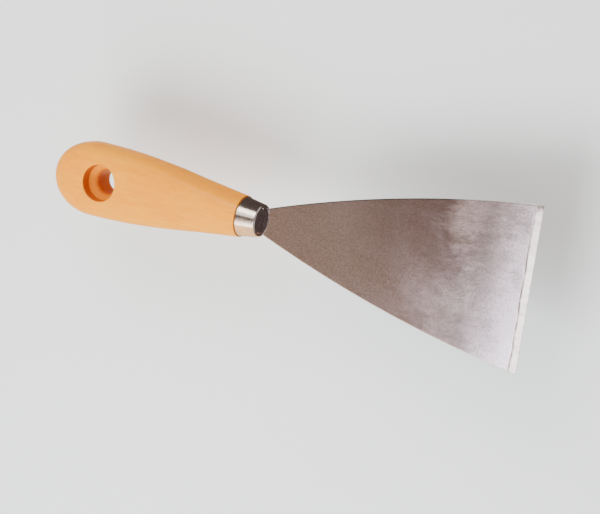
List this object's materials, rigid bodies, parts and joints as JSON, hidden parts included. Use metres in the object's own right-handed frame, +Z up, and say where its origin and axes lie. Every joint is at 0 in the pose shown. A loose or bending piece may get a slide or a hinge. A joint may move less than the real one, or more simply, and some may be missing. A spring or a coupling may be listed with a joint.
{
  "type": "flexible putty knife",
  "caption": "Flexible putty knife: beech handle with a counterbored hang hole, plated ferrule cap and a convex-sided, taper-ground spring-steel blade that bends elastically.",
  "frame": {"origin": "on the axis of the hang hole, halfway through the blade's thickness", "axes": "+X along the knife towards the working edge, +Y across the blade, +Z up out of the face with the counterbore; the blade lies in the XY plane"},
  "size_m": [0.2432, 0.075, 0.0198],
  "materials": {
    "lacquered_beech": "clear gloss lacquer over fine-grained beech",
    "nickel_plate": "bright nickel plate",
    "spring_steel": "ground, with fine marks and cloudy patches near the edge"
  },
  "bodies": {
    "grip": {"handle": "lacquered_beech", "ferrule": "nickel_plate", "blade_root": "spring_steel"},
    "blade_inner_span": {"blade_inner": "spring_steel"},
    "blade_middle_span": {"blade_middle": "spring_steel"},
    "blade_outer_span": {"blade_outer": "spring_steel"}
  },
  "joints": [
    {"name": "blade_flex", "type": "hinge", "parent": "grip", "child": "blade_inner_span", "pos_m": [0.0983, 0, 0], "axis": [0, 1, 0], "range_deg": [-12, 12], "stiffness_Nm_per_rad": 9.8},
    {"name": "blade_flex_middle", "type": "hinge", "parent": "blade_inner_span", "child": "blade_middle_span", "pos_m": [0.1373, 0, 0], "axis": [0, 1, 0], "range_deg": [-6.2, 6.2], "stiffness_Nm_per_rad": 12.7},
    {"name": "blade_flex_outer", "type": "hinge", "parent": "blade_middle_span", "child": "blade_outer_span", "pos_m": [0.1793, 0, 0], "axis": [0, 1, 0], "range_deg": [-4.2, 4.2], "stiffness_Nm_per_rad": 8.8}
  ],
  "couplings": [
    {"joint": "blade_flex_middle", "follows": "blade_flex", "ratio": 0.51},
    {"joint": "blade_flex_outer", "follows": "blade_flex", "ratio": 0.34}
  ]
}
